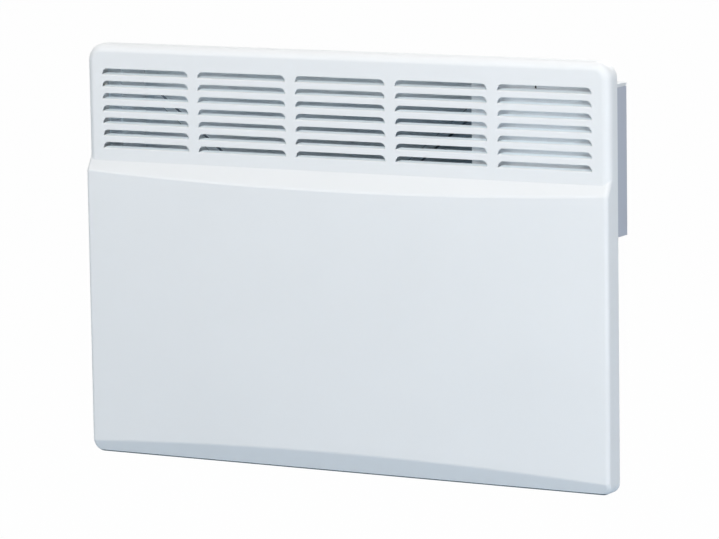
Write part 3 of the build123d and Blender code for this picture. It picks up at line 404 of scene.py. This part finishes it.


# the pan is the same sheet, painted pale on its inner side, with painted light and shade there: lightest at
# the top and darker downwards, most of all at the right
# painted shade darkens the sloping flanks of its swages
panSheet = {**zincSheet, "innerColour": (0.94, 0.98, 1.0, 1), "lowLeftShade": (0.85, 0.93, 1.0, 1),
            "lowRightShade": (0.31, 0.40, 0.48, 1), "lightAbove": 0.134, "darkBelow": 0.106,
            "halfWidth": 0.2765, "middle": -0.051, "halfHeight": 0.2005, "innerBack": -0.0195,
            "flangeFront": -0.0645, "flangeNormal": -0.15, "leftEnd": -0.20, "rightEnd": 0.12,
            "flankShadeColour": (0.16, 0.20, 0.25, 1), "flankMiddle": -0.0216, "flankHalf": 0.0011,
            "flankNormal": -0.57, "flankNormalHalf": 0.3}


def makePanSheet(name, look):
    material = makeZincSheet(name, look)
    tree = material.node_tree
    shader = tree.nodes["Principled BSDF"]
    place = splitCoords(tree, "Object")
    facing = splitCoords(tree, "Normal")["Y"]
    inWidth = calculate(tree, "COMPARE", place["X"], 0.0, look["halfWidth"])
    inHeight = calculate(tree, "COMPARE", place["Z"], look["middle"], look["halfHeight"])
    beforeBack = calculate(tree, "LESS_THAN", place["Y"], look["innerBack"])
    withinPan = calculate(tree, "MULTIPLY", calculate(tree, "MULTIPLY", inWidth, inHeight), beforeBack)
    atFront = calculate(tree, "LESS_THAN", place["Y"], look["flangeFront"])
    isForward = calculate(tree, "LESS_THAN", facing, look["flangeNormal"])
    onFlange = calculate(tree, "MULTIPLY", atFront, isForward)
    inside = calculate(tree, "MAXIMUM", withinPan, onFlange)
    # painted light and shade on the pan's inner side: pale at the top, darker downwards and towards the
    # right
    rightwards = mapRange(tree, place["X"], look["leftEnd"], look["rightEnd"])
    upwards = mapRange(tree, place["Z"], look["darkBelow"], look["lightAbove"])
    lowShade = mixColours(tree, rightwards, look["lowLeftShade"], look["lowRightShade"])
    paintAndShade = mixColours(tree, upwards, lowShade, look["innerColour"])
    # painted shade on the sloping flanks of the swages
    atFlanks = calculate(tree, "COMPARE", place["Y"], look["flankMiddle"], look["flankHalf"])
    isTilted = calculate(tree, "COMPARE", facing, look["flankNormal"], look["flankNormalHalf"])
    onFlank = calculate(tree, "MULTIPLY", atFlanks, isTilted)
    paintOver(tree, shader, inside, mixColours(tree, onFlank, paintAndShade, look["flankShadeColour"]))
    feed(tree, shader.inputs["Metallic"], mapRange(tree, inside, 0.0, 1.0, look["metallic"], 0.0))
    return material


# what every drawn metal shares, and then each metal's own colours and the way that its lines run
drawnSkin = {"stainAmount": 0.5, "roughness": 0.3, "bumpDepth": 0.00003}
drawnMetals = {
    "bracketSteel": {"colour": (0.55, 0.57, 0.59, 1), "stain": (0.42, 0.43, 0.44, 1),
                     "stretch": (60, 60, 900)},
    "elementSteel": {"colour": (0.30, 0.25, 0.21, 1), "stain": (0.12, 0.10, 0.12, 1),
                     "stretch": (60, 1400, 1400)},
    "diffuserAluminium": {"colour": (0.72, 0.72, 0.70, 1), "stain": (0.5, 0.47, 0.4, 1),
                          "stretch": (40, 1500, 1500)},
    "zincPlate": {"colour": (0.70, 0.68, 0.62, 1), "stain": (0.45, 0.43, 0.38, 1),
                  "stretch": (900, 900, 900)},
    "brass": {"colour": (0.72, 0.53, 0.26, 1), "stain": (0.35, 0.22, 0.1, 1), "stretch": (900, 900, 900)},
    "copper": {"colour": (0.72, 0.40, 0.26, 1), "stain": (0.3, 0.14, 0.09, 1), "stretch": (900, 900, 100)},
}


def makeDrawnMetal(name, look):
    material, tree, shader = newMaterial(name)
    drawn = useEffect(tree, drawnGroup, Color=look["colour"], Stain_Color=look["stain"],
                      Stain=drawnSkin["stainAmount"], Roughness=drawnSkin["roughness"],
                      Stretch=look["stretch"])
    finishWith(tree, shader, drawn, drawnSkin["bumpDepth"])
    shader.inputs["Metallic"].default_value = 1.0
    return material


# fired ceramic of the element's terminals: matt, off-white, lightly pitted
ceramicSkin = {"colour": (0.74, 0.71, 0.64, 1), "dust": (0.45, 0.4, 0.33, 1), "roughness": 0.55,
               "drift": 0.04, "dustAmount": 0.25, "grainSize": 0.0004, "grainDepth": 0.00006}

# green and yellow striped insulation of the earth lead
earthSkin = {"green": (0.02, 0.26, 0.06, 1), "yellow": (0.75, 0.62, 0.04, 1), "stripeScale": 55.0,
             "stripeFrom": 0.55, "stripeTo": 0.6, "dust": (0.5, 0.5, 0.4, 1), "drift": 0.03,
             "dustAmount": 0.05, "roughness": 0.4, "grainSize": 0.0006, "grainDepth": 0.00002}


def makeEarthInsulation(name, look):
    material, tree, shader = newMaterial(name)
    place = coordsOf(tree, "Object")
    waves = addNode(tree, "TexWave", Vector=place, Scale=look["stripeScale"], Distortion=0.0).outputs["Fac"]
    stripes = mapRange(tree, waves, look["stripeFrom"], look["stripeTo"])
    colours = mixColours(tree, stripes, look["green"], look["yellow"])
    skin = useEffect(tree, skinGroup, Color=colours, Dust_Color=look["dust"], Drift=look["drift"],
                     Dust=look["dustAmount"], Roughness=look["roughness"], Grain_Size=look["grainSize"])
    finishWith(tree, shader, skin, look["grainDepth"])
    return material


# amber lens of the lamp
lensSkin = {"colour": (0.75, 0.20, 0.03, 1), "dust": (0.5, 0.3, 0.2, 1), "drift": 0.05, "dustAmount": 0.03,
            "roughness": 0.08, "grainSize": 0.001, "grainDepth": 0.00002, "transmission": 0.4}


def makeLens(name, look):
    material = makePaint(name, look)
    shader = material.node_tree.nodes["Principled BSDF"]
    shader.inputs["Transmission Weight"].default_value = look["transmission"]
    return material


# the control box is bluish bare steel at the sides and painted white in front, behind the grille
boxPaint = {"colour": (0.495, 0.525, 0.60, 1), "dust": (0.5, 0.5, 0.5, 1), "roughness": 0.45, "drift": 0.008,
            "dustAmount": 0.04, "grainSize": 0.0012, "grainDepth": 0.00002,
            "frontColour": (0.86, 0.90, 0.94, 1), "frontNormal": -0.7}


def makeBoxPaint(name, look):
    material = makePaint(name, look)
    paintForwardFaces(material, look)
    return material


# the fascia's front rim gets the white of the box's front below it, lighter than the rest of the fascia:
# painted light on a rim that sits in shade behind the cover
def makeFasciaPlastic(name, look):
    material = makePlastic(name, look)
    paintForwardFaces(material, boxPaint)
    return material


# each finish by its name, with what makes it and the values it is made from
finishes = {"coverPaint": (makeCoverPaint, coverPaint), "boxPaint": (makeBoxPaint, boxPaint),
            "whiteFascia": (makeFasciaPlastic, plastics["fasciaPlastic"]),
            "zincSheet": (makeZincSheet, zincSheet), "panSheet": (makePanSheet, panSheet),
            "ceramic": (makePaint, ceramicSkin), "earthInsulation": (makeEarthInsulation, earthSkin),
            "lampLens": (makeLens, lensSkin)}
finishes.update({name: (makePlastic, look) for name, look in plastics.items()})
finishes.update({name: (makeDrawnMetal, look) for name, look in drawnMetals.items()})
materials = {name: make(name, look) for name, (make, look) in finishes.items()}
print("materials made:", len(materials))

# the finish of each material slot, and the nodes that have one of their own
finishOf = {
    "cover_paint": "coverPaint", "galvanised_sheet": "zincSheet", "bracket_steel": "bracketSteel",
    "element_steel": "elementSteel", "diffuser_aluminium": "diffuserAluminium", "ceramic": "ceramic",
    "silicone": "siliconeRubber", "fascia_plastic": "fasciaPlastic", "knob_plastic": "knobPlastic",
    "switch_plastic": "switchPlastic", "rocker_plastic": "rockerPlastic", "lamp_lens": "lampLens",
    "moulded_insulation": "mouldedInsulation", "terminal_plastic": "terminalPlastic",
    "gland_plastic": "glandPlastic", "zinc_plate": "zincPlate", "brass": "brass", "copper": "copper",
    "live_insulation": "liveInsulation", "neutral_insulation": "neutralInsulation",
    "earth_insulation": "earthInsulation", "rubber": "rubber", "label": "labelFilm",
}
ownFinish = {"control_box": "boxPaint", "rear_shell": "panSheet", "control_fascia": "whiteFascia"}


def dressNodes():
    for part in frame["record"]["subparts"]:
        piece = nodes[part["node"]]
        finish = materials[ownFinish.get(part["node"], finishOf[part["material_slot"]])]
        if not piece.data.materials:
            piece.data.materials.append(finish)
        for slot in piece.material_slots:
            slot.material = finish


dressNodes()
print("finishes on", len(nodes), "nodes")

# edges that turn by more degrees than this stay crisp, and points nearer than this in metres are one
sharpAngle = 35
weldDistance = 1e-6


def meshFrom(shape, name):
    bmesh.ops.recalc_face_normals(shape, faces=shape.faces)
    mesh = bpy.data.meshes.new(name)
    shape.to_mesh(mesh)
    shape.free()
    return mesh


# an object's mesh with its modifiers applied, or a text's letters as a mesh
def finishedMesh(thing):
    return bpy.data.meshes.new_from_object(thing.evaluated_get(bpy.context.evaluated_depsgraph_get()))


def makePiece(name, shape, finish, body, replaced=()):
    mesh = meshFrom(shape, name)
    mesh.shade_smooth()
    mesh.set_sharp_from_angle(angle=radians(sharpAngle))
    mesh.materials.append(materials[finish])
    piece = addObject(name, mesh)
    if replaced:
        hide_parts(*replaced)
    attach(piece, body)
    return piece


# sides between two rings of points, where a ring may be one point repeated
def joinRings(shape, first, second):
    for i in range(len(first)):
        j = (i + 1) % len(first)
        corners = (first[i], first[j], second[j], second[i])
        shape.faces.new(list(dict.fromkeys(corners)))


# pan-head screws with a cross recess and a rolled thread, in metres
# the head's outline is in shares of its radius and height, the groove and crest in shares of the pitch
screwLook = {"headRadius": 0.003, "headHeight": 0.002, "segments": 28,
             "headOutline": ((0, 1), (0.5, 0.98), (0.78, 0.86), (0.95, 0.58), (1, 0.3), (1, 0)),
             "neck": 0.0006, "unthreaded": 0.0016,  # plain length under the head, and in all
             "pitch": 0.0011, "coreShare": 0.78, "grooveFrom": 0.35, "grooveTo": 0.6, "crestFrom": 0.95,
             "recessReach": 0.0017, "recessDepth": 0.0011, "recessWidth": 0.00075, "recessTaper": 0.45,
             "cutterAbove": 0.001,  # how far the shape that cuts the recess stands out of the head
             "turnInSet": 1.1, "turnOfSet": 0.4}  # radians from screw to screw, and from set to set

# how a plain screw is read: points this near its end are on it, its shank is thinner and its head wider
screwReading = {"endWithin": 1e-5, "shankBelow": 0.002, "headAbove": 0.0028}
screwSets = ("cover_screws", "panel_screws", "shield_screws", "box_screws")


# profile points are (radius, height), from the top of the axis to its bottom
def latheShape(profile, segments):
    shape = bmesh.new()
    turns = [2 * pi * i / segments for i in range(segments)]
    rings = []
    for radius, height in profile:
        if radius == 0:
            rings.append([shape.verts.new((0, 0, height))] * segments)
        else:
            points = [(radius * cos(turn), radius * sin(turn), height) for turn in turns]
            rings.append([shape.verts.new(point) for point in points])
    for upper, lower in zip(rings, rings[1:]):
        joinRings(shape, upper, lower)
    return shape


# one arm of the cross, which is cut out of the head
def makeRecessArm(turn):
    reach, depth = screwLook["recessReach"], screwLook["recessDepth"]
    half, taper, top = screwLook["recessWidth"] / 2, screwLook["recessTaper"], screwLook["headHeight"]
    corners = ((-reach, -half), (reach, -half), (reach, half), (-reach, half))
    shape = bmesh.new()
    rings = []
    for height, share in ((top + screwLook["cutterAbove"], 1.0), (top, 1.0), (top - depth, taper)):
        rings.append([shape.verts.new((x * share, y * share, height)) for x, y in corners])
    shape.faces.new(rings[0])
    shape.faces.new(reversed(rings[-1]))
    for upper, lower in zip(rings, rings[1:]):
        joinRings(shape, lower, upper)
    shape.transform(Matrix.Rotation(turn, 4, "Z"))
    return addObject("recessArm", meshFrom(shape, "recessArm"))


# one screw with its seat at the origin and its head upwards
def makeScrewMesh(length, radius):
    pitch, neck = screwLook["pitch"], screwLook["neck"]
    core = radius * screwLook["coreShare"]
    profile = [(share * screwLook["headRadius"], level * screwLook["headHeight"])
               for share, level in screwLook["headOutline"]]
    profile += [(radius, 0), (radius, -neck)]
    for turn in range(int((length - screwLook["unthreaded"]) / pitch)):
        start = -neck - turn * pitch
        profile += [(core, start - screwLook["grooveFrom"] * pitch),
                    (core, start - screwLook["grooveTo"] * pitch),
                    (radius, start - screwLook["crestFrom"] * pitch), (radius, start - pitch)]
    profile += [(core, -length), (0, -length)]
    blank = addObject("screwBlank", meshFrom(latheShape(profile, screwLook["segments"]), "screwBlank"))
    arms = [makeRecessArm(turn) for turn in (0, pi / 2)]
    for arm in arms:
        cut = blank.modifiers.new("recess", "BOOLEAN")
        cut.operation = "DIFFERENCE"
        cut.solver = "EXACT"
        cut.object = arm
    finished = finishedMesh(blank)
    for helper in (blank, *arms):
        helperMesh = helper.data
        bpy.data.objects.remove(helper)
        bpy.data.meshes.remove(helperMesh)
    return finished


# the separate solids of a node, as lists of points
def islandsOf(name):
    shape = bmesh.new()
    shape.from_mesh(nodes[name].data)
    bmesh.ops.remove_doubles(shape, verts=shape.verts, dist=weldDistance)
    seen, islands = set(), []
    for first in shape.verts:
        if first in seen:
            continue
        seen.add(first)
        waiting, island = [first], []
        while waiting:
            vert = waiting.pop()
            island.append(vert.co.copy())
            for edge in vert.link_edges:
                other = edge.other_vert(vert)
                if other not in seen:
                    seen.add(other)
                    waiting.append(other)
        islands.append(island)
    shape.free()
    return islands


# where a plain screw's head is seated, which way its head points, its length and its shank's radius
def readScrew(points):
    lows = Vector([min(point[axis] for point in points) for axis in range(3)])
    highs = Vector([max(point[axis] for point in points) for axis in range(3)])
    middle = (lows + highs) / 2
    headHeight = screwLook["headHeight"]
    for axis in range(3):
        spans = []
        for end in (lows[axis], highs[axis]):
            onEnd = [point for point in points if abs(point[axis] - end) < screwReading["endWithin"]]
            spans.append(max(sum((point[k] - middle[k]) ** 2 for k in range(3) if k != axis) ** 0.5
                             for point in onEnd))
        if min(spans) < screwReading["shankBelow"] and max(spans) > screwReading["headAbove"]:
            headUp = spans[1] > spans[0]
            towardsHead = Vector([0, 0, 0])
            towardsHead[axis] = 1 if headUp else -1
            seat = middle.copy()
            seat[axis] = highs[axis] - headHeight if headUp else lows[axis] + headHeight
            return seat, towardsHead, highs[axis] - lows[axis] - headHeight, min(spans)


# each screw's recess stands at an angle of its own
def makeScrews():
    templates = {}
    for count, name in enumerate(screwSets):
        shape = bmesh.new()
        for index, island in enumerate(islandsOf(name)):
            seat, towardsHead, length, radius = readScrew(island)
            size = (round(length, 4), round(radius, 5))
            if size not in templates:
                templates[size] = makeScrewMesh(*size)
            oneScrew = templates[size].copy()
            turn = Matrix.Rotation(screwLook["turnInSet"] * index + screwLook["turnOfSet"] * count, 4, "Z")
            upright = towardsHead.to_track_quat("Z", "Y").to_matrix().to_4x4()
            oneScrew.transform(Matrix.Translation(seat) @ upright @ turn)
            shape.from_mesh(oneScrew)
            bpy.data.meshes.remove(oneScrew)
        makePiece(name.replace("_", "") + "Turned", shape, "zincPlate", "heater", (name,))
    for mesh in templates.values():
        bpy.data.meshes.remove(mesh)


makeScrews()
print("screws turned")


# raises an outline off its seat; place turns across, along and height into a point
def raiseOutline(shape, outline, low, high, place):
    bottom = [shape.verts.new(place(u, v, low)) for u, v in outline]
    top = [shape.verts.new(place(u, v, high)) for u, v in outline]
    shape.faces.new(bottom[::-1])
    shape.faces.new(top)
    joinRings(shape, bottom, top)


letterSteps = 3  # how finely the curves of a letter are divided


def raiseText(shape, label, size, low, high, place):
    curve = bpy.data.curves.new("letters", "FONT")
    curve.body = label
    curve.size = size
    curve.extrude = (high - low) / 2
    curve.align_x = "CENTER"
    curve.align_y = "CENTER"
    curve.resolution_u = letterSteps
    letters = addObject("letters", curve)
    mesh = finishedMesh(letters)
    bpy.data.objects.remove(letters)
    bpy.data.curves.remove(curve)
    placed = bmesh.new()
    placed.from_mesh(mesh)
    bmesh.ops.remove_doubles(placed, verts=placed.verts, dist=weldDistance)
    for vert in placed.verts:
        vert.co = place(vert.co.x, vert.co.y, (low + high) / 2 + vert.co.z)
    placed.to_mesh(mesh)
    placed.free()
    shape.from_mesh(mesh)
    bpy.data.meshes.remove(mesh)


def barOutline(left, right, low, high):
    return [(left, low), (right, low), (right, high), (left, high)]


# the knob's scale, printed on the fascia round it: numbers with a fine line between each two
dial = {"centre": (0.255, -0.043), "top": 0.149, "numbers": 6, "sweep": 270.0, "numberRadius": 0.0188,
        "numberSize": 0.0027, "lineFrom": 0.0176, "lineTo": 0.0196, "lineHalfWidth": 0.00014,
        "sunk": -0.00004, "raised": 0.00006}


def makeDial():
    shape = bmesh.new()
    step = dial["sweep"] / (dial["numbers"] - 1)
    half = dial["lineHalfWidth"]
    line = barOutline(-half, half, dial["lineFrom"], dial["lineTo"])
    centre = Vector((*dial["centre"], dial["top"]))
    for index in range(2 * dial["numbers"] - 1):
        turn = radians(index * step / 2)
        outward = Vector((-sin(turn), -cos(turn), 0))
        sideways = Vector((-outward.y, outward.x, 0))
        if index % 2:
            raiseOutline(shape, line, dial["sunk"], dial["raised"],
                         lambda u, v, h: centre + u * sideways + v * outward + Vector((0, 0, h)))
        else:
            spot = centre + dial["numberRadius"] * outward
            raiseText(shape, str(index // 2), dial["numberSize"], dial["sunk"], dial["raised"],
                      lambda u, v, h: spot + Vector((u, v, h)))
    makePiece("dialScale", shape, "markingInk", "heater")


# the dark line let into the knob's pointer
pointer = {"halfWidth": 0.00038, "from": 0.0058, "to": 0.0151, "top": 0.1636, "sunk": -0.0001,
           "raised": 0.00008}


def makePointer():
    shape = bmesh.new()
    half = pointer["halfWidth"]
    centre = Vector((*dial["centre"], pointer["top"]))
    raiseOutline(shape, barOutline(-half, half, -pointer["to"], -pointer["from"]),
                 pointer["sunk"], pointer["raised"], lambda u, v, h: centre + Vector((u, v, h)))
    makePiece("pointerLine", shape, "markingInk", "knob")


# marks on the rockers' hollow tops: off and on, and the two heat steps
rockerMarks = {"tilt": 8.0, "pivot": (-0.043, 0.1495), "from": 0.0052, "size": 0.0036, "midHeight": 0.0019,
               "arcRadius": 0.0254, "sunk": -0.00005, "raised": 0.00006,
               "marks": {"power_rocker": (0.172, "O", "I"), "heat_rocker": (0.197, "1", "2")}}


def makeRockerMarks():
    tilt = radians(rockerMarks["tilt"])
    along = Vector((0, cos(tilt), sin(tilt)))
    upward = Vector((0, -sin(tilt), cos(tilt)))
    radius = rockerMarks["arcRadius"]
    for body, (x, front, rear) in rockerMarks["marks"].items():
        shape = bmesh.new()
        pivot = Vector((x, *rockerMarks["pivot"]))
        for label, offset in ((front, -rockerMarks["from"]), (rear, rockerMarks["from"])):
            def place(u, v, h):
                far = v + offset
                height = rockerMarks["midHeight"] + radius - (radius ** 2 - far ** 2) ** 0.5 + h
                return pivot + Vector((u, 0, 0)) + far * along + height * upward
            raiseText(shape, label, rockerMarks["size"], rockerMarks["sunk"], rockerMarks["raised"], place)
        makePiece(body.replace("_", "") + "Marks", shape, "markingInk", body)


# rules printed on the blank rating plate: a border and empty rows, seen from behind
plateRules = {"middle": (0.192, -0.088), "face": -0.0186, "half": (0.0335, 0.0175), "line": 0.00035,
              "rows": (-0.0085, 0.0005, 0.0095), "divider": 0.006, "sunk": -0.00005, "raised": 0.00005}


def makePlateRules():
    shape = bmesh.new()
    middle = plateRules["middle"]
    halfWide, halfHigh = plateRules["half"]
    line, divider = plateRules["line"], plateRules["divider"]
    heights = [-halfHigh, *plateRules["rows"], halfHigh - line]
    bars = [barOutline(-halfWide, halfWide, height, height + line) for height in heights]
    for low, high in zip(heights, heights[1:]):
        bars += [barOutline(-halfWide, line - halfWide, low + line, high),
                 barOutline(halfWide - line, halfWide, low + line, high)]
    bars.append(barOutline(divider, divider + line, heights[0] + line, heights[1]))
    for bar in bars:
        raiseOutline(shape, bar, plateRules["sunk"], plateRules["raised"],
                     lambda u, v, h: Vector((middle[0] + u, plateRules["face"] + h, middle[1] + v)))
    makePiece("plateRules", shape, "markingInk", "heater")


makeDial()
makePointer()
makeRockerMarks()
makePlateRules()
print("printed marks made")

# a small dark plastic wedge that fills the notch of the fascia's front rim, so that the notch shows dark
fasciaNotchFill = {"left": 0.2211, "right": 0.2229, "front": -0.0773, "back": -0.0754, "low": 0.1452,
               "high": 0.1482, "slope": 0.0006}


def makeFasciaNotchFill():
    shape = bmesh.new()
    front, back, slope = fasciaNotchFill["front"], fasciaNotchFill["back"], fasciaNotchFill["slope"]
    low, high = fasciaNotchFill["low"], fasciaNotchFill["high"]
    side = [(back, low), (front + slope, low), (front, low + slope), (front, high - 2 * slope),
            (front + slope, high), (back, high)]
    raiseOutline(shape, side, fasciaNotchFill["left"], fasciaNotchFill["right"], lambda u, v, h: Vector((h, u, v)))
    makePiece("fasciaNotchFill", shape, "switchPlastic", "heater")


makeFasciaNotchFill()
print("fascia catch made")

# pale floor below the heater; it keeps the heater's shadow and is not seen from below
floorLook = {"height": -0.62, "half": 14.0, "colour": (0.33, 0.45, 0.57, 1), "dust": (0.8, 0.8, 0.8, 1),
             "drift": 0.004, "dustAmount": 0.0, "roughness": 0.8, "grainSize": 0.002, "grainDepth": 0.00001,
             "glowColour": (1, 1, 1, 1), "glow": 0.99}


def makeFloor():
    material = makePaint("paleFloor", floorLook)
    tree = material.node_tree
    painted = tree.nodes["Principled BSDF"].outputs[0]
    white = addNode(tree, "Emission", Color=floorLook["glowColour"]).outputs[0]
    fromCamera = addNode(tree, "LightPath").outputs["Is Camera Ray"]
    lit = mixShaders(tree, calculate(tree, "MULTIPLY", fromCamera, floorLook["glow"]), painted, white)
    fromBelow = addNode(tree, "NewGeometry").outputs["Backfacing"]
    clear = addNode(tree, "BsdfTransparent").outputs[0]
    feed(tree, tree.nodes["Material Output"].inputs[0], mixShaders(tree, fromBelow, lit, clear))
    half = floorLook["half"]
    corners = [(x, y, floorLook["height"]) for x, y in barOutline(-half, half, -half, half)]
    mesh = bpy.data.meshes.new("floor")
    mesh.from_pydata(corners, [], [(0, 1, 2, 3)])
    mesh.materials.append(material)
    floor = addObject("floor", mesh)


makeFloor()
print("floor laid")
